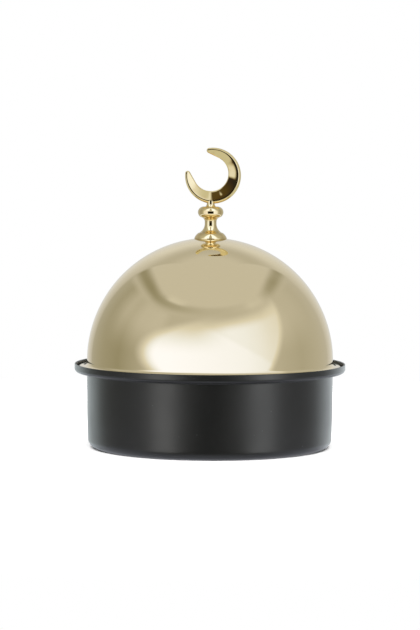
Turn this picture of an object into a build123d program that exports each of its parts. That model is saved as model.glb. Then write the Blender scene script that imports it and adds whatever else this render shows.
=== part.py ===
# Date bowl: a low black bowl with a stepped rim, a polished domed lid that stands
# inside the rim's upright lip, and a turned finial with a crescent on top of the dome.
# Frame: millimetres, +Z up, origin on the floor at the middle of the base.
# The crescent lies in the XZ plane and faces -Y, the side that the front view sees.

from build123d import *
from math import cos, radians, sin, sqrt, tan
import os

os.makedirs("parts", exist_ok=True)

# Bowl sizes
rim_radius = 100.0  # outside of the upright lip
lip_top = 61.9  # height of the lip's top edge above the floor
lip_height = 6.3  # lip's outside face, from the ledge's underside to the top edge
ledge_width = 9.25  # how far the lip's outside stands out from the wall's outside
bowl_sheet = 1.2  # sheet thickness of the bowl
lip_bend = 2.8  # outside radius of the bend from ledge to lip
ledge_bend = 1.6  # outside radius of the bend from wall to ledge
lip_edge = 0.5  # rounding of the lip's top edge
draw_in_height = 23.0  # the wall narrows a little below this height
draw_in_angle = 2.2  # degrees from the vertical, below that height
draw_in_bend = 200.0  # radius of the soft turn where it starts to narrow
base_corner = 6.5  # outside radius of the bottom corner
panel_margin = 12.0  # flat ring that the bowl stands on, from the corner to the raised panel
panel_slope = 3.0  # width of the slope up to the panel
panel_rise = 1.0  # how far the middle of the base is raised off the floor
panel_bend = 1.5  # radius of the bends at the panel's slope

# Dome sizes
dome_sheet = 0.8  # sheet thickness of the lid
lid_play = 0.2  # from the lid's edge to the start of the lip's bend
skirt_height = 3.5  # the lid's turned-down edge, from the ledge to the rim's top
flange_width = 6.1  # flat rim, from the dome's wall to the lid's edge
flange_bend = 1.2  # outside radius of the turned-down edge
cove_radius = 3.0  # hollow corner between the rim and the dome's wall
dome_straight = 0.4  # upright band between the cove and the half sphere
seat_radius = 9.0  # flat pressed into the dome's top for the finial
stud_clearance = 0.1  # radial play round the stud in the bell and the bead
dome_hole_play = 0.3  # radial play round the stud in the dome

# Finial sizes
bell_radius = 12.0  # widest part, on the dome
bell_land = 0.5  # upright edge at the bell's foot
bell_skirt_height = 4.1  # from the seat up to the step
bell_skirt_bulge = 0.35  # how far the skirt swells beyond a straight cone
step_radius = 9.0  # skirt's radius at the step
step_depth = 0.45  # how far the step goes in
waist_radius = 4.35  # thinnest part of the finial
waist_height = 10.8  # from the seat up to the waist
bell_height = 12.3  # from the seat up to the seam with the bead
bell_gap = 0.05  # air between the bell's rim and the dome's curve
bead_radius = 9.4  # widest part of the bead
bead_round = 4.2  # radius of the bead's rounded edge
bead_middle = 7.0  # from the seam up to the bead's widest part
bead_crease = 7.3  # radius where the stem's flare meets the bead
stud_radius = 2.0  # M4 thread, drawn at its outside diameter
thread_depth = 5.0  # length of thread in the crescent's neck

# Crescent sizes
crescent_radius = 20.6  # outside of the crescent
crescent_shift = 1.6  # crescent's middle, to the right of the stud
crescent_turn = -43.0  # degrees from +X to the middle of its thick side
crescent_thick = 9.9  # widest part, across the thick side
inner_offset = 2.2  # how far the inner circle's middle lies towards the opening
crescent_depth = 6.0  # front to back at the ridge
outer_band = 2.4  # rounded band between the outside and the ridge, on the thick side
inner_edge = 0.8  # thickness of the inner edge
horn_taper = 17.7  # degrees that each horn's inner edge closes towards the opening's axis
horn_round = 1.9  # rounding of a horn's end
neck_radius = 3.8  # crescent's foot on the bead
neck_waist = 2.9  # its thinnest part
neck_height = 2.15  # from the bead to the crescent's outside
neck_reach = 2.4  # how far the neck runs on into the crescent

# Fixings under the dome
washer_radius = 6.0
washer_thick = 1.0
spring_radius = 3.8
spring_thick = 1.0
spring_slit = 0.8  # gap of the split ring
nut_flats = 7.0  # across the flats
nut_height = 3.2
nut_cap_radius = 3.2  # domed end of the nut
thread_past_nut = 1.2  # stud's end above the inside of the cap


# Sizes that follow from the ones above
wall_radius = rim_radius - ledge_width
ledge_under = lip_top - lip_height
ledge_top = ledge_under + bowl_sheet
flange_radius = rim_radius - lip_bend - lid_play
flange_top = ledge_top + skirt_height
dome_radius = flange_radius - flange_width
dome_middle = flange_top + cove_radius + dome_straight
seat_top = dome_middle + sqrt(dome_radius**2 - seat_radius**2)
stud_hole = stud_radius + stud_clearance
waist_seam = seat_top + bell_height
bead_top = waist_seam + bead_middle + bead_round
crescent_middle = bead_top + neck_height + sqrt(crescent_radius**2 - crescent_shift**2)
seat_under = seat_top - dome_sheet
washer_under = seat_under - washer_thick
nut_top = washer_under - spring_thick


# The bowl is one sheet: its underside is drawn once and the sheet lies inside it.
base_radius = wall_radius - draw_in_height * tan(radians(draw_in_angle))
panel_edge = base_radius - base_corner - panel_margin
with BuildPart() as bowl:
    with BuildSketch(Plane.XZ):
        with BuildLine():
            outside = FilletPolyline(
                (0, panel_rise),
                (panel_edge - panel_slope, panel_rise),
                (panel_edge, 0),
                (base_radius, 0),
                (wall_radius, draw_in_height),
                (wall_radius, ledge_under),
                (rim_radius, ledge_under),
                (rim_radius, lip_top),
                radius=[panel_bend, panel_bend, base_corner, draw_in_bend, ledge_bend, lip_bend],
            )
            offset(outside, amount=bowl_sheet, side=Side.LEFT)
        make_face()
    revolve(axis=Axis.Z)
    fillet(bowl.edges().group_by(Axis.Z)[-1], radius=lip_edge)
bowl.part.label = "bowl"
export_step(bowl.part, "parts/bowl.step")


# The dome is one sheet too: a flat seat, a half sphere, a cove, a rim and a turned-down edge.
with BuildPart() as dome:
    with BuildSketch(Plane.XZ):
        with BuildLine():
            seat = Line((stud_radius + dome_hole_play, seat_top), (seat_radius, seat_top))
            shell = RadiusArc(seat @ 1, (dome_radius, dome_middle), dome_radius)
            edge = FilletPolyline(
                shell @ 1,
                (dome_radius, flange_top),
                (flange_radius, flange_top),
                (flange_radius, ledge_top),
                radius=[cove_radius, flange_bend],
            )
            offset([seat, shell, edge], amount=dome_sheet, side=Side.RIGHT)
        make_face()
    revolve(axis=Axis.Z)
dome.part.label = "dome"
export_step(dome.part, "parts/dome.step")


# The bell stands on the seat, and its rim follows the dome's curve just above it.
under_curve = dome_radius + bell_gap
bell_rim = dome_middle + sqrt(under_curve**2 - bell_radius**2)
bell_rest = sqrt(under_curve**2 - (seat_top - dome_middle) ** 2)
with BuildPart() as finial_bell:
    with BuildSketch(Plane.XZ):
        with BuildLine():
            rest = Line((stud_hole, seat_top), (bell_rest, seat_top))
            hollow = RadiusArc(rest @ 1, (bell_radius, bell_rim), under_curve)
            land = Line(hollow @ 1, (bell_radius, bell_rim + bell_land))
            step_out = (step_radius, seat_top + bell_skirt_height)
            step_in = (step_radius - step_depth, seat_top + bell_skirt_height)
            skirt = SagittaArc(land @ 1, step_out, -bell_skirt_bulge)
            step = Line(skirt @ 1, step_in)
            flare = TangentArc((waist_radius, seat_top + waist_height), step_in, tangent=(0, -1))
            waist = Line(flare @ 0, (waist_radius, waist_seam))
            Polyline(waist @ 1, (stud_hole, waist_seam), (stud_hole, seat_top))
        make_face()
    revolve(axis=Axis.Z)
finial_bell.part.label = "finial_bell"
export_step(finial_bell.part, "parts/finial_bell.step")


# The bead is flattened, and its stem flares out of the waist to a crease under it.
bead_ring = bead_radius - bead_round
bead_centre = waist_seam + bead_middle
crease_drop = sqrt(bead_round**2 - (bead_crease - bead_ring) ** 2)
with BuildPart() as finial_bead:
    with BuildSketch(Plane.XZ):
        with BuildLine():
            stem = TangentArc(
                (waist_radius, waist_seam), (bead_crease, bead_centre - crease_drop), tangent=(0, 1)
            )
            side = ThreePointArc(stem @ 1, (bead_radius, bead_centre), (bead_ring, bead_top))
            Polyline(side @ 1, (stud_hole, bead_top), (stud_hole, waist_seam), stem @ 0)
        make_face()
    revolve(axis=Axis.Z)
finial_bead.part.label = "finial_bead"
export_step(finial_bead.part, "parts/finial_bead.step")


# The crescent's outline is cut from a plate, its rounded outside comes from a turned lens,
# and its sloping inner faces from an hourglass whose axis lies towards the opening.
# Sketches on the opening planes have +X along the opening's axis.
ridge_half = crescent_depth / 2
inner_half = inner_edge / 2
inner_radius = crescent_radius - crescent_thick + inner_offset
ridge_radius = crescent_radius - outer_band
slope = (ridge_radius + inner_offset - inner_radius) / (ridge_half - inner_half)
taper = radians(horn_taper)
taper_start = inner_offset + inner_radius * sin(taper)
taper_half = inner_radius * cos(taper)
past_edge = 1.2 * crescent_radius
gap_half = taper_half - (past_edge - taper_start) * tan(taper)
cutter_half = 2 * ridge_half
cutter_radius = inner_radius + slope * (cutter_half - inner_half)
opening_turn = radians(crescent_turn + 180)
opening_axis = Vector(cos(opening_turn), 0, sin(opening_turn))
crescent_origin = Vector(crescent_shift, 0, crescent_middle)
face_plane = Plane(origin=crescent_origin, x_dir=opening_axis, z_dir=(0, -1, 0))
lens_plane = Plane(origin=crescent_origin, x_dir=opening_axis, z_dir=face_plane.y_dir)
hole_plane = lens_plane.shift_origin(crescent_origin + opening_axis * inner_offset)
with BuildPart() as crescent:
    with BuildSketch(face_plane) as outline:
        Circle(crescent_radius)
        with Locations((inner_offset, 0)):
            Circle(inner_radius, mode=Mode.SUBTRACT)
        with BuildLine():
            Polyline(
                (taper_start, -taper_half),
                (past_edge, -gap_half),
                (past_edge, gap_half),
                (taper_start, taper_half),
                close=True,
            )
        make_face(mode=Mode.SUBTRACT)
        fillet(outline.vertices().group_by(Axis.X)[-1], radius=horn_round)
    extrude(amount=ridge_half, both=True)
    with BuildSketch(lens_plane):
        with BuildLine():
            front = Line((0, -ridge_half), (ridge_radius, -ridge_half))
            band = ThreePointArc(front @ 1, (crescent_radius, 0), (ridge_radius, ridge_half))
            Polyline(band @ 1, (0, ridge_half), (0, -ridge_half))
        make_face()
    revolve(axis=Axis(lens_plane.origin, (0, 1, 0)), mode=Mode.INTERSECT)
    with BuildSketch(hole_plane):
        with BuildLine():
            Polyline(
                (0, -cutter_half),
                (cutter_radius, -cutter_half),
                (inner_radius, -inner_half),
                (inner_radius, inner_half),
                (cutter_radius, cutter_half),
                (0, cutter_half),
                close=True,
            )
        make_face()
    revolve(axis=Axis(hole_plane.origin, (0, 1, 0)), mode=Mode.SUBTRACT)
    with BuildSketch(Plane.XZ):
        with BuildLine():
            neck = TangentArc(
                (neck_waist, bead_top + neck_height), (neck_radius, bead_top), tangent=(0, -1)
            )
            Polyline(
                neck @ 0,
                (neck_waist, bead_top + neck_height + neck_reach),
                (0, bead_top + neck_height + neck_reach),
                (0, bead_top),
                neck @ 1,
            )
        make_face()
    revolve(axis=Axis.Z)
    with BuildSketch(Plane.XY.offset(bead_top)):
        Circle(stud_radius)
    extrude(amount=thread_depth, mode=Mode.SUBTRACT)
crescent.part.label = "crescent"
export_step(crescent.part, "parts/crescent.step")


# Fixings, from the dome's underside down
with BuildPart() as flat_washer:
    with BuildSketch(Plane.XY.offset(washer_under)):
        Circle(washer_radius)
        Circle(stud_radius + dome_hole_play, mode=Mode.SUBTRACT)
    extrude(amount=washer_thick)
flat_washer.part.label = "flat_washer"
export_step(flat_washer.part, "parts/flat_washer.step")

with BuildPart() as spring_washer:
    with BuildSketch(Plane.XY.offset(nut_top)):
        Circle(spring_radius)
        Circle(stud_hole, mode=Mode.SUBTRACT)
        with Locations((spring_radius, 0)):
            Rectangle(2 * (spring_radius - stud_radius), spring_slit, mode=Mode.SUBTRACT)
    extrude(amount=spring_thick)
spring_washer.part.label = "spring_washer"
export_step(spring_washer.part, "parts/spring_washer.step")

# The stud runs from inside the cap nut to the end of the thread in the crescent's neck.
stud_bottom = nut_top - nut_height - thread_past_nut
with BuildPart() as stud:
    with BuildSketch(Plane.XY.offset(stud_bottom)):
        Circle(stud_radius)
    extrude(amount=bead_top + thread_depth - stud_bottom)
stud.part.label = "stud"
export_step(stud.part, "parts/stud.step")

nut_middle = nut_top - nut_height
with BuildPart() as cap_nut:
    with BuildSketch(Plane.XY.offset(nut_middle)):
        RegularPolygon(nut_flats / 2, 6, major_radius=False)
    extrude(amount=nut_height)
    with BuildSketch(Plane.XZ):
        with BuildLine():
            cap = RadiusArc((nut_cap_radius, nut_middle), (0, nut_middle - nut_cap_radius), nut_cap_radius)
            Polyline(cap @ 1, (0, nut_middle), cap @ 0)
        make_face()
    revolve(axis=Axis.Z)
    with BuildSketch(Plane.XY.offset(stud_bottom)):
        Circle(stud_radius)
    extrude(amount=nut_top - stud_bottom, mode=Mode.SUBTRACT)
cap_nut.part.label = "cap_nut"
export_step(cap_nut.part, "parts/cap_nut.step")
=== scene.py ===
# Date bowl: black lacquered bowl, mirror-polished gold lid, turned finial with a crescent.
# Metres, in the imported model's frame: +Z up, the camera looks along +Y.
from math import atan2, ceil, cos, pi, radians, sin, sqrt, tan

import bmesh
import bpy
import numpy as np
from mathutils import Matrix


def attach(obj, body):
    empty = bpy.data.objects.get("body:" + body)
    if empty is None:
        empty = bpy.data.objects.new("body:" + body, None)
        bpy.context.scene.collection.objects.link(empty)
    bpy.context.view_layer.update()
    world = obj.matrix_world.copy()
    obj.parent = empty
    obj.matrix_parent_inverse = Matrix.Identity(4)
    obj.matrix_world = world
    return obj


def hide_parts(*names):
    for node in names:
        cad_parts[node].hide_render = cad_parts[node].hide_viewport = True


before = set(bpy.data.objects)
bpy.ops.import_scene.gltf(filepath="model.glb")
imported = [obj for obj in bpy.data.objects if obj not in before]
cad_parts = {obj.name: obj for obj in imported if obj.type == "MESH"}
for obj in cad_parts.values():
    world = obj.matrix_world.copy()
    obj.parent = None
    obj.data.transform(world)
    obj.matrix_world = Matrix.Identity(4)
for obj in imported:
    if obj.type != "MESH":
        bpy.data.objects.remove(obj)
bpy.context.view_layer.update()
mm = 0.001
print("frame loaded:", sorted(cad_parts))


# Camera, at the photograph's viewing angle.
cameraSet = {
    "distance": 1800 * mm,
    "elevation": 3.73,      # degrees above the table
    "roll": 0.27,           # degrees, tilts the picture a touch clockwise
    "aimHeight": 97.53 * mm,
    "aimSide": -0.15 * mm,
    "lens": 139.2,          # mm
    "sensor": 36,           # mm, for the long side of the frame
}
rise = radians(cameraSet["elevation"])
lensData = bpy.data.cameras.new("photoCamera")
lensData.lens = cameraSet["lens"]
lensData.sensor_width = cameraSet["sensor"]
camera = bpy.data.objects.new("photoCamera", lensData)
bpy.context.scene.collection.objects.link(camera)
camera.matrix_world = (
    Matrix.Translation((
        cameraSet["aimSide"],
        -cameraSet["distance"] * cos(rise),
        cameraSet["aimHeight"] + cameraSet["distance"] * sin(rise)))
    @ Matrix.Rotation(radians(90) - rise, 4, "X")
    @ Matrix.Rotation(radians(cameraSet["roll"]), 4, "Z"))
bpy.context.scene.camera = camera
bpy.context.scene.view_settings.view_transform = "Standard"
print("camera placed")


# Colours and shader nodes.
def toLinear(colour):
    # each channel c of the hex colour: c / 12.92 when dark, else ((c + 0.055) / 1.055) ** 2.4
    channel = np.array([int(colour[i:i + 2], 16) for i in (1, 3, 5)]) / 255
    light = np.where(channel <= 0.04045, channel / 12.92, ((channel + 0.055) / 1.055) ** 2.4)
    return (*light.tolist(), 1.0)


def addNode(beside, kind, settings={}, links={}):
    # Adds a node to the tree that beside is, or is in. Names with a capital and numbers are
    # sockets, the rest are the node's own settings.
    node = beside.id_data.nodes.new(kind)
    for key, value in settings.items():
        if isinstance(key, int) or key[0].isupper():
            node.inputs[key].default_value = value
        else:
            setattr(node, key, value)
    feed(node, links)
    return node


def feed(node, links):
    for socket, source in links.items():
        out = source.outputs[0] if isinstance(source, bpy.types.Node) else source
        node.id_data.links.new(out, node.inputs[socket])


def addNoise(place, size, detail, roughness):
    return addNode(place, "ShaderNodeTexNoise", {
        "Scale": 1 / size, "Detail": detail, "Roughness": roughness}, {"Vector": place})


def addBump(height, depth, links={}):
    return addNode(height, "ShaderNodeBump", {"Strength": 1.0, "Distance": depth},
                   {"Height": height, **links})


def spreadOver(value, start, end, low, high):
    # low up to start, high from end on, a straight line between
    return addNode(value, "ShaderNodeMapRange", {
        "From Min": start, "From Max": end, "To Min": low, "To Max": high}, {"Value": value})


def twoTones(value, stops):
    # a colour ramp of two stops, each a position and a hex colour
    ramp = addNode(value, "ShaderNodeValToRGB", {}, {"Fac": value})
    for element, (position, colour) in zip(ramp.color_ramp.elements, stops):
        element.position = position
        element.color = toLinear(colour)
    return ramp


def newMaterial(name, settings):
    material = bpy.data.materials.new(name)
    material.use_nodes = True
    tree = material.node_tree
    tree.nodes.clear()
    shader = addNode(tree, "ShaderNodeBsdfPrincipled", settings)
    addNode(tree, "ShaderNodeOutputMaterial", {}, {"Surface": shader})
    place = addNode(tree, "ShaderNodeTexCoord")
    return material, shader, place.outputs["Object"]


# Stainless steel lid, spun on a lathe, mirror polished and coated pale gold: a clean mirror with
# a warm tint, very faint rings round the axis and a slight wander where the buff pressed harder.
# Detail and roughness belong to each noise.
lidFinish = {
    "gold": "#f8e9c1",
    "roughness": 0.035,
    "ringSpacing": 1.1 * mm,
    "ringDepth": 0.00006 * mm,
    "ringUneven": {"Distortion": 0.6, "Detail": 1.0, "Detail Scale": 0.4},
    "wander": {"size": 38 * mm, "detail": 1.0, "roughness": 0.4},
    "wanderDepth": 0.010 * mm,
    "smear": {"size": 16 * mm, "detail": 4.0, "roughness": 0.62},
    "smearLevels": (0.35, 0.75),    # noise levels where the duller patches start and are full
    "smearSpread": 0.018,           # how much rougher the duller patches are
}
# inside, the spinning marks are left as they came off the lathe
lidInsideFinish = dict(lidFinish, ringDepth=0.004 * mm, roughness=0.16)
waveSpacing = 0.314     # ring spacing of a wave texture at scale 1


def polishedLid(name, finish):
    material, shader, place = newMaterial(name, {
        "Base Color": toLinear(finish["gold"]), "Metallic": 1.0, "Roughness": finish["roughness"]})
    spin = addNode(place, "ShaderNodeTexWave", {
        "wave_type": "RINGS", "rings_direction": "Z", "Scale": waveSpacing / finish["ringSpacing"],
        **finish["ringUneven"]}, {"Vector": place})
    soft = addBump(addNoise(place, **finish["wander"]), finish["wanderDepth"])
    rings = addBump(spin, finish["ringDepth"], {"Normal": soft})
    duller = spreadOver(addNoise(place, **finish["smear"]), *finish["smearLevels"],
                        finish["roughness"], finish["roughness"] + finish["smearSpread"])
    feed(shader, {"Roughness": duller, "Normal": rings})
    return material


lidOutside = polishedLid("mirrorPolishedGoldSteel", lidFinish)
lidInside = polishedLid("spunGoldSteelInside", lidInsideFinish)

# Cast and turned brass, buffed and gold plated: deeper yellow than the lid, slightly uneven
# where the casting was polished by hand, a little darker and duller in patches.
finialFinish = {
    "tones": ((0.25, "#ecca8a"), (0.5, "#f6dc9c")),
    "roughness": 0.035,
    "uneven": {"size": 5 * mm, "detail": 2.0, "roughness": 0.5},
    "unevenDepth": 0.012 * mm,
    "wear": {"size": 7 * mm, "detail": 5.0, "roughness": 0.6},
    "hazeLevels": (0.3, 0.7),
    "hazeShares": (1.7, 0.8),       # of the roughness, where the wear is low and high
}
finialGold, shader, place = newMaterial("platedBrass", {
    "Metallic": 1.0, "Roughness": finialFinish["roughness"]})
wear = addNoise(place, **finialFinish["wear"])
feed(shader, {
    "Base Color": twoTones(wear, finialFinish["tones"]),
    "Roughness": spreadOver(wear, *finialFinish["hazeLevels"], *(
        finialFinish["roughness"] * share for share in finialFinish["hazeShares"])),
    "Normal": addBump(addNoise(place, **finialFinish["uneven"]), finialFinish["unevenDepth"])})

# Stoved black lacquer on steel sheet: deep black with a satin sheen, a fine orange peel and
# a few paler dust specks.
lacquerFinish = {
    "black": "#08090a",
    "dustGrey": "#6a6c70",
    "shine": {"Roughness": 0.36, "IOR": 1.5, "Specular IOR Level": 0.5},
    "peel": {"size": 0.9 * mm, "detail": 2.0, "roughness": 0.55},
    "peelDepth": 0.004 * mm,
    "cloud": {"size": 45 * mm, "detail": 3.0, "roughness": 0.5},
    "sheen": (0.3, 0.7, 0.33, 0.40),    # two levels of the cloud, and the roughness at each
    "dustSpacing": 9 * mm,
    "dustEdge": (0.012, 0.03),          # a speck's soft edge, as shares of the spacing
}
blackLacquer, shader, place = newMaterial("stovedBlackLacquer", lacquerFinish["shine"])
dust = addNode(place, "ShaderNodeTexVoronoi", {
    "Scale": 1 / lacquerFinish["dustSpacing"], "Randomness": 1.0}, {"Vector": place})
speck = spreadOver(dust.outputs["Distance"], *lacquerFinish["dustEdge"], 1.0, 0.0)
# sockets 6 and 7 of a mix are its two colours, and its output 2 is their blend
paint = addNode(place, "ShaderNodeMix", {
    "data_type": "RGBA", 6: toLinear(lacquerFinish["black"]),
    7: toLinear(lacquerFinish["dustGrey"])}, {0: speck})
feed(shader, {
    "Base Color": paint.outputs[2],
    "Roughness": spreadOver(addNoise(place, **lacquerFinish["cloud"]), *lacquerFinish["sheen"]),
    "Normal": addBump(addNoise(place, **lacquerFinish["peel"]), lacquerFinish["peelDepth"])})

# Bright zinc-plated steel fixings: grey metal with a slightly milky, scuffed plating.
zincFinish = {
    "tones": ((0.0, "#8c9094"), (1.0, "#b9bcbf")),
    "roughness": 0.3,
    "milk": {"size": 0.5 * mm, "detail": 4.0, "roughness": 0.6},
    "scuffDepth": 0.004 * mm,
}
zincSteel, shader, place = newMaterial("zincPlatedSteel", {
    "Metallic": 1.0, "Roughness": zincFinish["roughness"]})
milk = addNoise(place, **zincFinish["milk"])
feed(shader, {
    "Base Color": twoTones(milk, zincFinish["tones"]),
    "Normal": addBump(milk, zincFinish["scuffDepth"])})
print("materials made")


# Profiles of the turned and spun pieces, in millimetres as (radius, height).
fine = 0.02         # spacing of the points that a profile is first drawn with
leastPoints = 8     # on any arc or line
samePoint = 1e-9    # points nearer than this are one


def arcRun(centre, radius, start, end):
    # circle about the centre, from one angle in degrees to the other
    count = max(int(abs(radians(end - start)) * radius / fine), leastPoints)
    angle = np.radians(np.linspace(start, end, count))
    return np.column_stack((centre[0] + radius * np.cos(angle), centre[1] + radius * np.sin(angle)))


def curveRun(start, direction, end):
    # circle that leaves start in the given direction and passes through end:
    # radius = chord squared / (2 * chord's part along the normal)
    start, direction, end = (np.array(v, float) for v in (start, direction, end))
    direction /= np.linalg.norm(direction)
    normal = np.array((-direction[1], direction[0]))
    chord = end - start
    radius = chord @ chord / (2 * (chord @ normal))
    centre = start + normal * radius
    first = atan2(*(start - centre)[::-1])
    last = atan2(*(end - centre)[::-1])
    if radius > 0 and last < first:
        last += 2 * pi
    if radius < 0 and last > first:
        last -= 2 * pi
    return arcRun(centre, abs(radius), np.degrees(first), np.degrees(last))


def bentRun(points, radii):
    # straight runs between the points, with an arc of the given radius at each inner point,
    # which starts radius * tan(half the turn) before it
    points = [np.array(p, float) for p in points]
    line = [points[0][None]]
    for before, corner, after, radius in zip(points, points[1:], points[2:], radii):
        come = (corner - before) / np.linalg.norm(corner - before)
        leave = (after - corner) / np.linalg.norm(after - corner)
        turn = atan2(come[0] * leave[1] - come[1] * leave[0], come @ leave)
        touch = corner - come * radius * tan(abs(turn) / 2)
        end = corner + leave * radius * tan(abs(turn) / 2)
        line.append(curveRun(touch, come, end))
    line.append(points[-1][None])
    return np.vstack(line)


def offsetLine(line, distance):
    # each point moved along the left-hand normal of the line's direction there
    step = np.gradient(line, axis=0)
    step /= np.linalg.norm(step, axis=1)[:, None]
    return line + distance * np.column_stack((-step[:, 1], step[:, 0]))


def evenLine(line, spacing):
    # the same line with points at equal distances along it
    line = line[np.append(True, np.linalg.norm(np.diff(line, axis=0), axis=1) > samePoint)]
    along = np.append(0, np.cumsum(np.linalg.norm(np.diff(line, axis=0), axis=1)))
    count = max(int(along[-1] / spacing), leastPoints) + 1
    where = np.linspace(0, along[-1], count)
    return np.column_stack([np.interp(where, along, line[:, k]) for k in (0, 1)])


def meshPiece(name, points, faces, normals, materials):
    mesh = bpy.data.meshes.new(name)
    mesh.from_pydata(points.tolist(), [], faces)
    mesh.validate()
    mesh.polygons.foreach_set("use_smooth", np.ones(len(mesh.polygons), bool))
    if normals is not None:
        mesh.normals_split_custom_set_from_vertices(normals.tolist())
    for material in materials:
        mesh.materials.append(material)
    piece = bpy.data.objects.new(name, mesh)
    bpy.context.scene.collection.objects.link(piece)
    return piece


def turnedPiece(name, line, closed, grid, materials, insideFrom=None):
    # The profile is evened, rounded with a moving average 'soften' wide, thinned so that
    # neighbours turn by 'bend' degrees or lie 'reach' apart, and carried round Z in 'slices':
    # x = r cos a, y = r sin a, z = h, with the normal (h', -r') turned the same way.
    # From the share 'insideFrom' of the profile on, faces get the second material.
    line = evenLine(np.vstack((line, line[:1])) if closed else line, fine)
    if closed:
        line = line[:-1]
    half = max(int(grid["soften"] / fine / 2), 1)
    if closed:
        padded = np.vstack((line[-half:], line, line[:half]))
    else:
        mirror = np.array((-1.0, 1.0))
        padded = np.vstack((line[half:0:-1] * mirror, line, line[-2:-half - 2:-1] * mirror))
    total = np.vstack((np.zeros((1, 2)), np.cumsum(padded, axis=0)))
    line = (total[2 * half + 1:] - total[:-2 * half - 1]) / (2 * half + 1)
    loop = np.vstack((line, line[:1])) if closed else line
    area = np.sum(loop[:-1, 0] * loop[1:, 1] - loop[1:, 0] * loop[:-1, 1])
    ring = np.vstack((line[-1:], loop, line[:1])) if closed else np.vstack(
        (line[1:2] * (-1, 1), loop, line[-2:-1] * (-1, 1)))
    step = ring[2:] - ring[:-2]
    if closed:
        step[-1] = step[0] = line[1] - line[-1]
    step /= np.linalg.norm(step, axis=1)[:, None]
    run = np.append(0, np.cumsum(np.linalg.norm(np.diff(loop, axis=0), axis=1)))
    heading = np.unwrap(np.arctan2(step[:, 1], step[:, 0]))
    effort = np.append(0, np.cumsum(
        np.abs(np.diff(heading)) / radians(grid["bend"]) + np.diff(run) / grid["reach"]))
    rows = int(ceil(effort[-1])) + 1
    where = np.interp(np.linspace(0, effort[-1], rows), effort, run)
    radius, height = (np.interp(where, run, loop[:, k]) for k in (0, 1))
    alongR, alongZ = (np.interp(where, run, step[:, k]) for k in (0, 1))
    if area < 0:
        radius, height, where = radius[::-1], height[::-1], where[::-1]
        alongR, alongZ = -alongR[::-1], -alongZ[::-1]
    if closed:
        radius, height, alongR, alongZ = (v[:-1] for v in (radius, height, alongR, alongZ))
    else:
        radius[[0, -1]] = 0.0
    size = np.hypot(alongR, alongZ)
    normalR, normalZ = alongZ / size, -alongR / size
    slices = grid["slices"]
    angle = np.linspace(0, 2 * pi, slices, endpoint=False)
    points = np.stack((np.outer(radius, np.cos(angle)), np.outer(radius, np.sin(angle)),
                       np.outer(height, np.ones(slices))), -1).reshape(-1, 3) * mm
    normals = np.stack((np.outer(normalR, np.cos(angle)), np.outer(normalR, np.sin(angle)),
                        np.outer(normalZ, np.ones(slices))), -1).reshape(-1, 3)
    count = len(radius)
    row = np.arange(count if closed else count - 1)[:, None]
    col = np.arange(slices)[None]
    below, above, beside = row * slices, (row + 1) % count * slices, (col + 1) % slices
    quads = np.stack((below + col, below + beside, above + beside, above + col), -1).reshape(-1, 4)
    if not closed:      # each end lies on the axis, so its ring is one point
        last = (count - 1) * slices
        quads = np.where(quads < slices, 0, np.where(quads > last, last, quads))
        quads = [list(dict.fromkeys(q)) for q in quads.tolist()]
        used, quads = compact(quads, len(points))
        points, normals = points[used], normals[used]
        normals[0], normals[-1] = (0, 0, normalZ[0]), (0, 0, normalZ[-1])
    else:
        quads = quads.tolist()
    piece = meshPiece(name, points, quads, normals, materials)
    if insideFrom is not None:
        middle = (where[:-1] + where[1:]) / 2
        part = np.repeat((middle > insideFrom * run[-1]).astype(int), slices)
        piece.data.polygons.foreach_set("material_index", part)
    return piece


def compact(faces, count):
    # drops the points that no face uses and renumbers the rest
    flat = np.unique(np.fromiter((i for face in faces for i in face), int))
    new = np.full(count, -1)
    new[flat] = np.arange(len(flat))
    return flat, [[int(new[i]) for i in face] for face in faces]


def finishPiece(piece, body, slotName, *nodes):
    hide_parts(*nodes)
    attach(piece, body)
    print("piece:", piece.name, len(piece.data.polygons), "faces")
    return piece


# Bowl: the underside is drawn once and the sheet lies inside it.
bowlSet = {
    "rim": 99.97, "lipTop": 61.9, "ledgeUnder": 55.6, "wall": 90.75, "base": 89.8665,
    "drawIn": 23.0, "sheet": 1.2, "panelRise": 1.0, "panelEdge": 71.3665, "panelSlope": 3.0,
    "bends": (1.5, 1.5, 6.5, 200.0, 1.6, 2.8),  # panel twice, corner, draw-in, ledge, lip
    "lipEdge": 0.5, "lipBend": 0.49,            # the rounding's height, and its radius
    "grid": {"soften": 0.1, "bend": 4.0, "reach": 9.0, "slices": 288},
}
under = bentRun([
    (0, bowlSet["panelRise"]),
    (bowlSet["panelEdge"] - bowlSet["panelSlope"], bowlSet["panelRise"]),
    (bowlSet["panelEdge"], 0), (bowlSet["base"], 0),
    (bowlSet["wall"], bowlSet["drawIn"]), (bowlSet["wall"], bowlSet["ledgeUnder"]),
    (bowlSet["rim"], bowlSet["ledgeUnder"]),
    (bowlSet["rim"], bowlSet["lipTop"] - bowlSet["lipEdge"])], bowlSet["bends"])
under = evenLine(under, fine)
inside = offsetLine(under, bowlSet["sheet"])
inside[0, 0] = 0
lip = bentRun([
    under[-1], (bowlSet["rim"], bowlSet["lipTop"]),
    (bowlSet["rim"] - bowlSet["sheet"], bowlSet["lipTop"]), inside[-1]],
    (bowlSet["lipBend"], bowlSet["lipBend"]))
bowlLine = np.vstack((under, lip, inside[::-1]))
bowl = turnedPiece("bowl_shell", bowlLine, False, bowlSet["grid"], [blackLacquer])
finishPiece(bowl, "bowl", "black_lacquer", "bowl")


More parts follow.
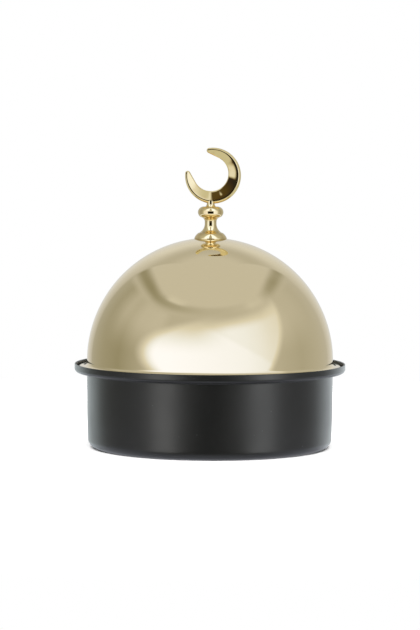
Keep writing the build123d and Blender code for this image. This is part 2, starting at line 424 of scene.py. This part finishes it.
# Lid: a half sphere with a cove, a flat rim and a turned-down edge.
lidSet = {
    "radius": 90.9, "middle": 63.7, "seat": 9.0, "hole": 2.3, "flangeTop": 60.3, "flange": 97.0,
    "foot": 56.8, "sheet": 0.8, "cove": 3.0, "flangeBend": 1.2,
    "holeEdge": 0.1,        # how far outside the hole its slanted edge starts
    "grid": {"soften": 0.1, "bend": 1.6, "reach": 9.0, "slices": 288},
}
seatTop = lidSet["middle"] + sqrt(lidSet["radius"] ** 2 - lidSet["seat"] ** 2)
seatAngle = np.degrees(atan2(seatTop - lidSet["middle"], lidSet["seat"]))
halfSheet = lidSet["sheet"] / 2
outside = np.vstack((
    [(lidSet["hole"] + lidSet["holeEdge"], seatTop)],
    arcRun((0, lidSet["middle"]), lidSet["radius"], seatAngle, 0),
    bentRun([
        (lidSet["radius"], lidSet["middle"]), (lidSet["radius"], lidSet["flangeTop"]),
        (lidSet["flange"], lidSet["flangeTop"]), (lidSet["flange"], lidSet["foot"] + halfSheet)],
        (lidSet["cove"], lidSet["flangeBend"]))[1:]))
outside = evenLine(outside, fine)
inner = offsetLine(outside, -lidSet["sheet"])
edge = arcRun((lidSet["flange"] - halfSheet, lidSet["foot"] + halfSheet), halfSheet, 0, -180)
lidLine = np.vstack((outside, edge[1:-1], inner[::-1]))
outerShare = len(outside) / (len(outside) * 2 + len(edge))
lid = turnedPiece("lid_dome", lidLine, True, lidSet["grid"], [lidOutside, lidInside], outerShare)
finishPiece(lid, "lid", "dome_gold", "dome")


# Finial: the bell stands on the lid and the bead stands on the bell.
bellSet = {
    "rim": 12.0, "land": 0.5, "skirtTop": 4.1, "bulge": 0.35, "step": 9.0, "stepIn": 0.45,
    "waist": 4.35, "waistHeight": 10.8, "height": 12.3, "gap": 0.05, "hole": 2.1,
    "grid": {"soften": 0.3, "bend": 5.0, "reach": 3.0, "slices": 160},
}
under = lidSet["radius"] + bellSet["gap"]
rimHeight = lidSet["middle"] + sqrt(under ** 2 - bellSet["rim"] ** 2)
rest = sqrt(under ** 2 - (seatTop - lidSet["middle"]) ** 2)
rimAngle, restAngle = (
    np.degrees(atan2(sqrt(under ** 2 - r * r), r)) for r in (bellSet["rim"], rest))
skirtStart = np.array((bellSet["rim"], rimHeight + bellSet["land"]))
skirtEnd = np.array((bellSet["step"], seatTop + bellSet["skirtTop"]))
chord = skirtEnd - skirtStart
outward = np.array((chord[1], -chord[0])) / np.linalg.norm(chord)
skirtMiddle = (skirtStart + skirtEnd) / 2 + bellSet["bulge"] * outward
leave = skirtMiddle - skirtStart
lean = 2 * (atan2(leave[1], leave[0]) - atan2(chord[1], chord[0]))
skirtAim = atan2(chord[1], chord[0]) + lean
waistPoint = (bellSet["waist"], seatTop + bellSet["waistHeight"])
stepPoint = (bellSet["step"] - bellSet["stepIn"], seatTop + bellSet["skirtTop"])
bellLine = np.vstack((
    [(bellSet["hole"], seatTop)],
    arcRun((0, lidSet["middle"]), under, restAngle, rimAngle),
    curveRun(skirtStart, (cos(skirtAim), sin(skirtAim)), skirtEnd),
    curveRun(waistPoint, (0, -1), stepPoint)[::-1],
    [(bellSet["waist"], seatTop + bellSet["height"]),
     (bellSet["hole"], seatTop + bellSet["height"])]))
bell = turnedPiece("finial_bell_skin", bellLine, True, bellSet["grid"], [finialGold])
finishPiece(bell, "lid", "finial_gold", "finial_bell")

beadSet = {
    "radius": 9.4, "round": 4.2, "middle": 7.0, "crease": 7.3, "hole": 2.1,
    "grid": {"soften": 0.24, "bend": 5.0, "reach": 3.0, "slices": 160},
}
seam = seatTop + bellSet["height"]
beadRing = beadSet["radius"] - beadSet["round"]
beadMiddle = seam + beadSet["middle"]
beadTop = beadMiddle + beadSet["round"]
creaseDrop = sqrt(beadSet["round"] ** 2 - (beadSet["crease"] - beadRing) ** 2)
creaseAngle = np.degrees(atan2(-creaseDrop, beadSet["crease"] - beadRing))
beadLine = np.vstack((
    [(beadSet["hole"], seam)],
    curveRun((bellSet["waist"], seam), (0, 1), (beadSet["crease"], beadMiddle - creaseDrop)),
    arcRun((beadRing, beadMiddle), beadSet["round"], creaseAngle, 90),
    [(beadSet["hole"], beadTop)]))
bead = turnedPiece("finial_bead_skin", beadLine, True, beadSet["grid"], [finialGold])
finishPiece(bead, "lid", "finial_gold", "finial_bead")


# Crescent: two horns with a ridge, and a short neck.
crescentSet = {
    "radius": 20.59, "shift": 1.6, "turn": -43.0, "thick": 9.9, "offset": 2.2, "depth": 6.0,
    "band": 2.4, "innerEdge": 0.8, "taper": 17.7, "tipRound": 1.9, "ridgeSoft": 0.9,
    "ridgeLift": 0.25,      # share of ridgeSoft that the softened ridge gets back
    "outerRound": 0.3,      # height over which the front starts at the outer outline
    "innerRound": 0.9,      # width over which it ends at the inner outline
    "tipFade": 5.0,         # length at a tip that turns into an ellipse
    "tipDepth": 1.7, "tipFull": 1.05,   # the ellipse's greatest half depth, and its fullness
    "neck": 3.8, "neckWaist": 2.9, "neckHeight": 2.15, "neckReach": 2.2, "neckBore": 2.02,
    "rows": 150, "across": 34, "weld": 0.001 * mm,
    "neckGrid": {"soften": 0.12, "bend": 6.0, "reach": 2.0, "slices": 96},
}


def crescentShape(sizes):
    # A point of the outer outline and one of the inner outline are joined by a straight rung.
    # Along it the half thickness is the softer of the two lesser heights: the rounded band
    # round the outside and the slope up from the inner edge. Towards a tip it turns into an
    # ellipse over the rung. Both outlines go from the thick side to the tip's middle.
    inner = sizes["radius"] - sizes["thick"] + sizes["offset"]
    taper = radians(sizes["taper"])
    tip = sizes["tipRound"]
    normal = np.array((sin(taper), cos(taper)))
    run = np.array((cos(taper), -sin(taper)))
    start = np.array((sizes["offset"], 0)) + inner * normal
    level = start @ normal + tip
    centre = level * normal + sqrt((sizes["radius"] - tip) ** 2 - level ** 2) * run
    outAngle = np.degrees(atan2(centre[1], centre[0]))
    inAngle = np.degrees(atan2(-normal[1], -normal[0]))
    middle = (outAngle + inAngle) / 2
    inEnd = np.degrees(atan2(normal[1], normal[0]))
    outer = np.vstack((
        arcRun((0, 0), sizes["radius"], 180, outAngle), arcRun(centre, tip, outAngle, middle)))
    innerLine = np.vstack((
        arcRun((sizes["offset"], 0), inner, 180, inEnd), arcRun(centre, tip, inAngle, middle)))
    share = 1 - (1 - np.linspace(0, 1, sizes["rows"])) ** 2
    rungs = []
    for line in (outer, innerLine):
        line = evenLine(line, fine)
        along = np.linspace(0, 1, len(line))
        rungs.append(np.column_stack([np.interp(share, along, line[:, k]) for k in (0, 1)]))
    out, into = rungs
    across = (1 - np.cos(np.linspace(0, pi, sizes["across"]))) / 2
    flat = out[:, None] + across[None, :, None] * (into - out)[:, None]
    fromOuter = np.hypot(flat[..., 0], flat[..., 1])
    fromInner = np.hypot(flat[..., 0] - sizes["offset"], flat[..., 1])
    half = sizes["depth"] / 2
    bandRound = (half ** 2 + sizes["band"] ** 2) / (2 * sizes["band"])
    bandCentre = sizes["radius"] - bandRound
    band = np.sqrt(np.maximum(bandRound ** 2 - np.maximum(fromOuter - bandCentre, 0) ** 2, 0))
    edge = sizes["innerEdge"] / 2
    slope = (sizes["radius"] - sizes["band"] + sizes["offset"] - inner) / (half - edge)
    rise = edge + np.maximum(fromInner - inner, 0) / slope
    width = np.linalg.norm(into - out, axis=1)[:, None]
    fromEdge = np.clip((1 - across)[None] * width / sizes["innerRound"], 0, 1)
    nose = np.sqrt(1 - (1 - fromEdge) ** 2)
    sloped = rise * nose
    soft = sizes["ridgeSoft"]
    main = (band + sloped - np.sqrt((band - sloped) ** 2 + soft ** 2)) / 2
    main = np.maximum(main + soft * sizes["ridgeLift"], 0)
    main = main * np.minimum(band / sizes["outerRound"], 1)
    left = (1 - share) * len(evenLine(outer, fine)) * fine
    mix = np.clip(1 - left / sizes["tipFade"], 0, 1)[:, None] ** 2
    mix = mix * mix * (3 - 2 * mix)
    oval = np.sqrt(np.maximum(1 - (2 * across[None] - 1) ** 2, 0))
    oval = oval * np.minimum(width / 2, sizes["tipDepth"]) * sizes["tipFull"]
    high = main * (1 - mix) + oval * mix
    high[:, [0, -1]] = 0
    high[-1] = 0
    return flat, high


def crescentPiece(name, sizes, material):
    flat, high = crescentShape(sizes)
    # one section is a loop: out along the front, back along the rear
    loopFlat = np.concatenate((flat, flat[:, -2:0:-1]), 1)
    loopHigh = np.concatenate((high, -high[:, -2:0:-1]), 1)
    # the lower horn is the upper one mirrored across the opening's axis
    mirrored = loopFlat[:0:-1] * (1, -1)
    allFlat = np.concatenate((mirrored, loopFlat), 0)
    allHigh = np.concatenate((loopHigh[:0:-1], loopHigh), 0)
    turn = radians(sizes["turn"] + 180)
    axis = np.array((cos(turn), 0, sin(turn)))
    side = np.array((sin(turn), 0, -cos(turn)))
    front = np.array((0, -1, 0))
    height = beadTop + sizes["neckHeight"] + sqrt(sizes["radius"] ** 2 - sizes["shift"] ** 2)
    origin = np.array((sizes["shift"], 0, height))
    points = origin + allFlat[..., :1] * axis + allFlat[..., 1:] * side + allHigh[..., None] * front
    count, loop = points.shape[:2]
    row, col = np.arange(count - 1)[:, None] * loop, np.arange(loop)[None]
    beside = (col + 1) % loop
    quads = np.stack(
        (row + col, row + beside, row + loop + beside, row + loop + col), -1).reshape(-1, 4)
    piece = meshPiece(name, points.reshape(-1, 3) * mm, quads.tolist(), None, [material])
    work = bmesh.new()
    work.from_mesh(piece.data)
    bmesh.ops.remove_doubles(work, verts=work.verts, dist=sizes["weld"])
    bmesh.ops.recalc_face_normals(work, faces=work.faces)
    work.to_mesh(piece.data)
    work.free()
    return piece


crescent = crescentPiece("crescent_horns", crescentSet, finialGold)
finishPiece(crescent, "lid", "finial_gold", "crescent")
neckTop = beadTop + crescentSet["neckHeight"]
neckLine = np.vstack((
    curveRun((crescentSet["neckWaist"], neckTop), (0, -1), (crescentSet["neck"], beadTop))[::-1],
    [(crescentSet["neckWaist"], neckTop + crescentSet["neckReach"]),
     (crescentSet["neckBore"], neckTop + crescentSet["neckReach"]),
     (crescentSet["neckBore"], beadTop)]))
neck = turnedPiece("crescent_neck", neckLine, True, crescentSet["neckGrid"], [finialGold])
finishPiece(neck, "lid", "finial_gold", "crescent")


# Fixings under the lid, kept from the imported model.
fixings = [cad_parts[node] for node in ("stud", "flat_washer", "spring_washer", "cap_nut")]
for part in fixings:
    part.data.materials.clear()
    part.data.materials.append(zincSteel)
print("fixings finished")


# Floor: pale paper that fades into the plain backdrop.
floorSet = {
    "radius": 0.62, "slices": 96, "fadeFrom": 0.30, "fadeTo": 0.58, "white": "#f3f3f3",
    "sheen": {"Roughness": 0.8, "Specular IOR Level": 0.2},
}
angle = np.linspace(0, 2 * pi, floorSet["slices"], endpoint=False)
disc = np.column_stack((np.cos(angle), np.sin(angle), 0 * angle)) * floorSet["radius"]
floor = meshPiece("paleFloor", disc, [list(range(floorSet["slices"]))], None, [])
paper, shader, place = newMaterial("paleFloorPaper", {
    "Base Color": toLinear(floorSet["white"]), **floorSet["sheen"]})
away = addNode(place, "ShaderNodeVectorMath", {"operation": "LENGTH"}, {0: place})
fade = addNode(place, "ShaderNodeMapRange", {
    "interpolation_type": "SMOOTHSTEP", "From Min": floorSet["fadeFrom"],
    "From Max": floorSet["fadeTo"], "To Min": 1.0, "To Max": 0.0},
    {"Value": away.outputs["Value"]})
feed(shader, {"Alpha": fade})
floor.data.materials.append(paper)
floor.visible_glossy = False
floor.visible_shadow = False
print("floor laid")


# Studio: a pale tent round the table, as the polished pieces mirror it. Azimuth is 0 towards the
# camera and grows to the right, elevation is 0 at the horizon, both in degrees. Two numbers in
# brackets are where a soft edge starts and ends. Levels by azimuth are (azimuth, level) stops.
tent = {
    "rest": 0.05,       # share of the room's light that the world itself gives
    "backdrop": 1.0,    # what the camera sees behind the table
    # walls, and how much brighter they are higher up
    "walls": ((-180, 0.70), (-165, 0.72), (-155, 0.63), (-147, 0.55), (-143.5, 0.43),
              (-120, 0.36), (-95, 0.315), (-75, 0.40), (-55, 0.50), (0, 0.52), (58, 0.52),
              (75, 0.47), (95, 0.43), (120, 0.475), (141, 0.51), (144.5, 0.57), (155, 0.66),
              (165, 0.71), (180, 0.68)),
    "lift": ((-180, 0), (-126, 0), (-106, 0.17), (-80, 0.17), (-60, 0.09), (-45, 0), (62, 0),
             (76, 0.12), (95, 0.10), (110, 0.06), (126, 0), (180, 0)),
    "liftRise": (4, 32),
    # where walls and ceiling meet: the edge's height over distance, then edges as shares of it
    "ceilingEdge": 1.22,
    "line": ((-180, 0.3), (-135, 0.31), (-118, 0.30), (-103, 0.30), (-88, 0.32), (-70, 0.36),
             (-45, 0.41), (-25, 0.46), (-5, 0.50), (15, 0.51), (45, 0.55), (58, 0.62), (75, 0.60),
             (88, 0.49), (103, 0.38), (120, 0.34), (135, 0.37), (180, 0.3)),
    "lineRise": (0.79, 0.98), "lineFall": (1.0, 1.27),
    "upperBand": 0.52, "bandRise": (0.70, 0.84),
    "ceiling": 0.59, "ceilingRise": (0.97, 1.2), "zenithRise": (50, 66),
    # the back wall, with its own upper part
    "backEdge": (142.5, 146.5), "backTop": 0.50, "backTopRise": (30, 50),
    # bright patch where the ceiling meets the left front corner
    "corner": 0.66, "cornerRise": (-76, -60), "cornerFall": (-50, -26),
    "cornerBottom": (1.04, 1.16), "cornerTop": (1.2, 1.5),
    # large front panel: its left edge bulges, the others lean by so much for each degree
    "panel": ((-180, 1.08), (-40, 1.08), (-10, 1.05), (20, 1.02), (35, 1.0), (50, 0.95),
              (62, 0.89), (90, 0.80), (180, 0.80)),
    "panelLeft": (-78, -52), "bulge": -0.05, "bulgeMiddle": 10.0,
    "panelRight": (56, 66), "rightLean": -0.66,
    "panelTopLeft": (8, 54), "panelTopRight": (28, 45), "topLean": -0.07, "topChange": (-20, 25),
    # above a slanting line on the right the panel is a little dimmer
    "veil": -0.05, "veilEdge": (32, 37), "veilLean": 0.58,
    # the dark gap between the two front lamps, where the camera stands
    "gap": 0.07, "gapSide": (11, 19), "gapTop": (6, 15),
    # the table, darker in front
    "low": 0.8, "lowEdge": (-8, -16), "lowFront": 0.12, "lowSide": (30, 75), "lowRise": (-50, -30),
}
# What the turned pieces and the crescent mirror, each from its own place in the tent. The gap is
# the dark one with the camera, here from side to side and from its foot to its top.
turnedSky = {
    "sides": ((-180, 0.55), (-130, 0.48), (-100, 0.36), (-76, 0.50), (-62, 0.95), (-26, 1.1),
              (0, 0.9), (26, 1.1), (62, 0.95), (76, 0.50), (100, 0.36), (130, 0.48), (180, 0.55)),
    "overhead": ((-180, 0.28), (-110, 0.45), (-66, 0.55), (-48, 1.25), (-18, 1.3), (-10, 0.45),
                 (10, 0.45), (18, 1.3), (48, 1.25), (66, 0.55), (110, 0.45), (180, 0.28)),
    "overheadRise": (26, 42),
    "table": 0.98, "tableEdge": (-24, -32), "under": 0.25, "underEdge": (-52, -62),
    "gap": 0.01, "gapSides": (-27, 27), "gapHeights": (-27, 22),
}
crescentSky = {
    "sides": ((-180, 0.55), (-60, 0.55), (-46, 0.86), (-4, 0.84), (4, 0.95), (46, 1.08),
              (60, 0.55), (180, 0.55)),
    "overhead": 0.72, "overheadRise": (44, 56),
    "table": 0.64, "tableEdge": (-8, -20),
    # on the right it falls to the table's level higher up
    "fallSide": (0, 6), "fallRise": (14, 36),
    # a dim part of the studio, up and to the left: two levels and the elevations they belong to
    "shade": (0.03, 0.10), "shadeHeights": (8, 34),
    "shadeLeft": (-66, -58), "shadeRight": (-3, 2), "shadeFoot": (3, 8), "shadeTop": (40, 48),
    "fleck": (-17, 30), "fleckEdge": (0.8, 2.4),    # middle and soft edge of a small bright spot
    "gap": 0.02, "gapSides": (-31, 15), "gapHeights": (-17, 12),
}
gapSoft = 3     # degrees, half the width of the gap's soft edges
# Colour by level, warm where it is dim and cool where it is bright.
roomTone = {
    "range": (0.0, 1.1),
    "stops": ((0.0, (0, 0, 0)), (0.30, (0.305, 0.295, 0.228)), (0.56, (0.56, 0.557, 0.552)),
              (0.75, (0.75, 0.755, 0.76)), (0.95, (0.93, 1.02, 1.32)), (1.1, (1.11, 1.22, 1.74))),
}
finialTone = {
    "range": (0.0, 1.3),
    "stops": ((0, (0, 0, 0)), (0.1, (0.10, 0.076, 0.03)), (0.47, (0.465, 0.49, 0.54)),
              (0.63, (0.62, 0.68, 0.72)), (0.92, (0.90, 1.02, 1.40)), (1.3, (1.3, 1.56, 2.6))),
}


def compute(operation, *values):
    # a maths node of these values, of which at least one is a node or a socket
    links = {at: value for at, value in enumerate(values) if not isinstance(value, (int, float))}
    settings = {at: value for at, value in enumerate(values) if at not in links}
    beside = next(iter(links.values()))
    return addNode(beside, "ShaderNodeMath", {**settings, "operation": operation}, links)


def product(first, *others):
    for other in others:
        first = compute("MULTIPLY", first, other)
    return first


def softStep(value, start, end, low=0.0, high=1.0):
    return addNode(value, "ShaderNodeMapRange", {
        "interpolation_type": "SMOOTHSTEP", "From Min": start, "From Max": end,
        "To Min": low, "To Max": high}, {"Value": value})


def softFall(value, start, end):
    return softStep(value, start, end, 1.0, 0.0)


def slanted(value, other, slope):
    # value + slope * other
    return compute("MULTIPLY_ADD", other, slope, value)


def blendTo(under, over, mask):
    # under * (1 - mask) + over * mask, in sockets 2 and 3 of a mix
    settings, links = {"data_type": "FLOAT"}, {0: mask}
    for socket, value in ((2, under), (3, over)):
        (settings if isinstance(value, float) else links)[socket] = value
    return addNode(mask, "ShaderNodeMix", settings, links)


def rampOver(value, first, last, stops):
    # colour ramp whose stops are given in the value's own units
    share = addNode(value, "ShaderNodeMapRange", {
        "From Min": first, "From Max": last}, {"Value": value})
    node = addNode(share, "ShaderNodeValToRGB", {}, {"Fac": share})
    stopList = node.color_ramp.elements
    for index, (at, level) in enumerate(stops):
        position = (at - first) / (last - first)
        stop = stopList[index] if index < 2 else stopList.new(position)
        stop.position = position
        stop.color = (*level, 1) if isinstance(level, tuple) else (level, level, level, 1)
    return node


def byAzimuth(aim, stops):
    ramp = rampOver(aim["azimuth"], -180.0, 180.0, stops)
    return addNode(ramp, "ShaderNodeRGBToBW", {}, {0: ramp})


def toned(level, tone):
    return rampOver(level, *tone["range"], tone["stops"])


def directionParts(toward):
    # for a direction (x, y, z): azimuth = atan2(x, -y), elevation = asin(z), and the level of
    # the walls and the ceiling there
    part = addNode(toward, "ShaderNodeSeparateXYZ", {}, {0: toward})
    near = compute("MULTIPLY", part.outputs["Y"], -1.0)
    azimuth = compute("DEGREES", compute("ARCTAN2", part.outputs["X"], near))
    elevation = compute("DEGREES", compute("ARCSINE", part.outputs["Z"]))
    aim = {"side": part.outputs["X"], "near": near, "up": part.outputs["Z"],
           "azimuth": azimuth, "elevation": elevation, "turn": compute("ABSOLUTE", azimuth)}
    aim["shell"] = shellLevel(aim)
    return aim


def shellLevel(aim):
    # walls and ceiling
    azimuth, elevation = aim["azimuth"], aim["elevation"]
    lift = product(softStep(elevation, *tent["liftRise"]), byAzimuth(aim, tent["lift"]))
    level = compute("ADD", byAzimuth(aim, tent["walls"]), lift)

    # height over distance, where the distance behind the table is the one to the side walls
    forward = compute("MAXIMUM", aim["near"], 0.0)
    flatDistance = compute("SQRT", compute(
        "ADD", product(aim["side"], aim["side"]), product(forward, forward)))
    overEdge = compute("DIVIDE", compute("DIVIDE", aim["up"], flatDistance), tent["ceilingEdge"])
    roundWalls = softFall(aim["turn"], *tent["backEdge"])
    line = product(softStep(overEdge, *tent["lineRise"]), softFall(overEdge, *tent["lineFall"]))
    for over, mask in (
            (tent["upperBand"], softStep(overEdge, *tent["bandRise"])),
            (tent["ceiling"], softStep(overEdge, *tent["ceilingRise"])),
            (byAzimuth(aim, tent["line"]), line)):
        level = blendTo(level, over, product(mask, roundWalls))
    corner = product(
        softStep(azimuth, *tent["cornerRise"]), softFall(azimuth, *tent["cornerFall"]),
        softStep(overEdge, *tent["cornerBottom"]), softFall(overEdge, *tent["cornerTop"]))
    level = blendTo(level, tent["corner"], corner)
    backTop = product(
        softStep(elevation, *tent["backTopRise"]), softStep(aim["turn"], *tent["backEdge"]))
    level = blendTo(level, tent["backTop"], backTop)
    return blendTo(level, tent["ceiling"], softStep(elevation, *tent["zenithRise"]))


def roomLevel(aim):
    # the shell with the dark gap in front and the table below
    turn, elevation = aim["turn"], aim["elevation"]
    gap = product(softFall(turn, *tent["gapSide"]), softFall(elevation, *tent["gapTop"]))
    lowFront = product(softFall(turn, *tent["lowSide"]), softStep(elevation, *tent["lowRise"]))
    return blendTo(
        blendTo(aim["shell"], tent["gap"], gap),
        blendTo(tent["low"], tent["lowFront"], lowFront), softStep(elevation, *tent["lowEdge"]))


def lidLevel(aim):
    # the shell with the large front panel, as the lid mirrors it
    azimuth, elevation = aim["azimuth"], aim["elevation"]
    fromBulge = compute("SUBTRACT", elevation, tent["bulgeMiddle"])
    bulging = slanted(azimuth, product(fromBulge, fromBulge), tent["bulge"])
    top = blendTo(
        softFall(elevation, *tent["panelTopLeft"]),
        softFall(slanted(elevation, azimuth, tent["topLean"]), *tent["panelTopRight"]),
        softStep(azimuth, *tent["topChange"]))
    mask = product(
        softStep(bulging, *tent["panelLeft"]),
        softFall(slanted(azimuth, elevation, tent["rightLean"]), *tent["panelRight"]), top)
    leaning = slanted(elevation, azimuth, tent["veilLean"])
    veil = softStep(leaning, *tent["veilEdge"], 0.0, tent["veil"])
    return blendTo(aim["shell"], compute("ADD", byAzimuth(aim, tent["panel"]), veil), mask)


def withGap(level, aim, sky):
    edges = []
    for value, (start, end) in (
            (aim["azimuth"], sky["gapSides"]), (aim["elevation"], sky["gapHeights"])):
        edges.append(softStep(value, start - gapSoft, start + gapSoft))
        edges.append(softFall(value, end - gapSoft, end + gapSoft))
    return blendTo(level, sky["gap"], product(*edges))


def turnedLevel(aim):
    elevation = aim["elevation"]
    level = blendTo(byAzimuth(aim, turnedSky["sides"]), byAzimuth(aim, turnedSky["overhead"]),
                    softStep(elevation, *turnedSky["overheadRise"]))
    level = blendTo(level, turnedSky["table"], softStep(elevation, *turnedSky["tableEdge"]))
    level = blendTo(level, turnedSky["under"], softStep(elevation, *turnedSky["underEdge"]))
    return withGap(level, aim, turnedSky)


def crescentLevel(aim):
    azimuth, elevation, sky = aim["azimuth"], aim["elevation"], crescentSky
    level = blendTo(byAzimuth(aim, sky["sides"]), sky["overhead"],
                    softStep(elevation, *sky["overheadRise"]))
    falling = product(softStep(elevation, *sky["fallRise"]), softStep(azimuth, *sky["fallSide"]))
    level = blendTo(level, sky["table"], falling)
    level = blendTo(level, sky["table"], softStep(elevation, *sky["tableEdge"]))
    shade = product(
        softStep(azimuth, *sky["shadeLeft"]), softFall(azimuth, *sky["shadeRight"]),
        softStep(elevation, *sky["shadeFoot"]), softFall(elevation, *sky["shadeTop"]))
    level = blendTo(level, softStep(elevation, *sky["shadeHeights"], *sky["shade"]), shade)
    # distance from the fleck's middle, in degrees
    across, above = (compute("SUBTRACT", value, middle)
                     for value, middle in zip((azimuth, elevation), sky["fleck"]))
    away = compute("SQRT", compute("ADD", product(across, across), product(above, above)))
    level = blendTo(level, sky["table"], softFall(away, *sky["fleckEdge"]))
    return withGap(level, aim, sky)


# The world: plain white to the camera, and a small share of the room's light to everything else.
world = bpy.data.worlds.new("softTent")
bpy.context.scene.world = world
world.use_nodes = True
sky = world.node_tree
sky.nodes.clear()
toward = addNode(sky, "ShaderNodeTexCoord").outputs["Generated"]
light = addNode(sky, "ShaderNodeBackground", {"Strength": tent["rest"]}, {
    "Color": toned(roomLevel(directionParts(toward)), roomTone)})
plain = addNode(sky, "ShaderNodeBackground", {
    "Color": (tent["backdrop"], tent["backdrop"], tent["backdrop"], 1)})
seen = addNode(sky, "ShaderNodeLightPath").outputs["Is Camera Ray"]
both = addNode(sky, "ShaderNodeMixShader", {}, {0: seen, 1: light, 2: plain})
addNode(sky, "ShaderNodeOutputWorld", {}, {"Surface": both})


def lightOnly(lamp, *pieces):
    group = bpy.data.collections.new(lamp.name + "Lights")
    for piece in pieces:
        group.objects.link(piece)
    lamp.light_linking.receiver_collection = group


# What a piece mirrors glows on a large clear ball round the table that lights only that piece,
# less what the world gives: own colour - rest * room's colour, or black where that is below 0.
# The ball's points lie at R (cos e sin a, -cos e cos a, sin e) about its middle. Where two such
# balls met only one would be seen, so each has its own radius.
ballSet = {
    "rows": 40, "columns": 80,
    # radius in metres, and the middle's height in millimetres
    "lid": (30.0, lidSet["middle"]), "bowl": (27.0, 30.0), "turned": (29.0, 185.0),
    "crescent": (28.0, 185.0),
}


def glowBall(name, radius, middle, ownLevel, ownTone, *pieces):
    rows, columns = ballSet["rows"], ballSet["columns"]
    across = np.linspace(0, 2 * pi, columns, endpoint=False)[None]
    high = np.linspace(-pi / 2, pi / 2, rows)[:, None]
    ball = np.stack((np.cos(high) * np.sin(across), -np.cos(high) * np.cos(across),
                     np.sin(high) + 0 * across), -1)
    row, col = np.arange(rows - 1)[:, None] * columns, np.arange(columns)[None]
    beside = (col + 1) % columns
    quads = np.stack(
        (row + col, row + beside, row + columns + beside, row + columns + col), -1).reshape(-1, 4)
    shell = meshPiece(name, ball.reshape(-1, 3) * radius, quads.tolist(), None, [])
    shell.location = (0, 0, middle * mm)
    glow = bpy.data.materials.new(name + "Glow")
    glow.use_nodes = True
    tree = glow.node_tree
    tree.nodes.clear()
    place = addNode(tree, "ShaderNodeTexCoord").outputs["Object"]
    aim = directionParts(addNode(tree, "ShaderNodeVectorMath", {"operation": "NORMALIZE"}, {
        0: place}))
    rest = addNode(tree, "ShaderNodeVectorMath", {"operation": "SCALE", "Scale": tent["rest"]}, {
        0: toned(roomLevel(aim), roomTone)})
    extra = addNode(tree, "ShaderNodeVectorMath", {"operation": "SUBTRACT"}, {
        0: toned(ownLevel(aim), ownTone), 1: rest})
    extra = addNode(tree, "ShaderNodeVectorMath", {"operation": "MAXIMUM", 1: (0, 0, 0)}, {
        0: extra})
    shine = addNode(tree, "ShaderNodeEmission", {}, {"Color": extra})
    clear = addNode(tree, "ShaderNodeBsdfTransparent")
    sheet = addNode(tree, "ShaderNodeAddShader", {}, {0: shine, 1: clear})
    addNode(tree, "ShaderNodeOutputMaterial", {}, {"Surface": sheet})
    shell.data.materials.append(glow)
    shell.visible_camera = False
    shell.visible_shadow = False
    lightOnly(shell, *pieces)


glowBall("lidSky", *ballSet["lid"], lidLevel, roomTone, lid, *fixings)
glowBall("bowlSky", *ballSet["bowl"], roomLevel, roomTone, bowl)
glowBall("turnedSky", *ballSet["turned"], turnedLevel, finialTone, bell, bead, neck)
glowBall("crescentSky", *ballSet["crescent"], crescentLevel, finialTone, crescent)

# tall soft lamps for the lacquer: two in front, two wide ones behind for its bright edges
stripSet = {
    "distance": 1.9, "height": 1.7, "middle": 0.1,
    # azimuth, width, radiance, colour
    "lamps": ((-42, 0.75, 2.65, (1.0, 1.0, 0.98)), (48, 0.75, 2.85, (0.98, 1.0, 1.0)),
              (-146, 1.5, 1.1, (0.86, 1.0, 1.02)), (143, 1.5, 1.25, (0.9, 1.0, 1.04))),
}
for at, width, radiance, colour in stripSet["lamps"]:
    lamp = bpy.data.lights.new("tallSoftLamp", "AREA")
    lamp.shape = "RECTANGLE"
    lamp.size, lamp.size_y = width, stripSet["height"]
    lamp.color = colour
    # radiance = power / (pi * area)
    lamp.energy = radiance * pi * width * stripSet["height"]
    strip = bpy.data.objects.new("tallSoftLamp", lamp)
    bpy.context.scene.collection.objects.link(strip)
    strip.location = (
        stripSet["distance"] * sin(radians(at)), -stripSet["distance"] * cos(radians(at)),
        stripSet["middle"])
    strip.rotation_euler = (radians(90), 0, radians(at))
    strip.visible_camera = False
    lightOnly(strip, bowl)

# a broad overhead lamp that lights only the paper
overheadSet = {"energy": 8.0, "spread": 100, "tilt": 14}    # spread and tilt in degrees
lamp = bpy.data.lights.new("overheadSoft", "SUN")
lamp.energy = overheadSet["energy"]
lamp.angle = radians(overheadSet["spread"])
overhead = bpy.data.objects.new("overheadSoft", lamp)
bpy.context.scene.collection.objects.link(overhead)
overhead.rotation_euler = (radians(overheadSet["tilt"]), 0, 0)
lightOnly(overhead, floor)
print("studio lit")
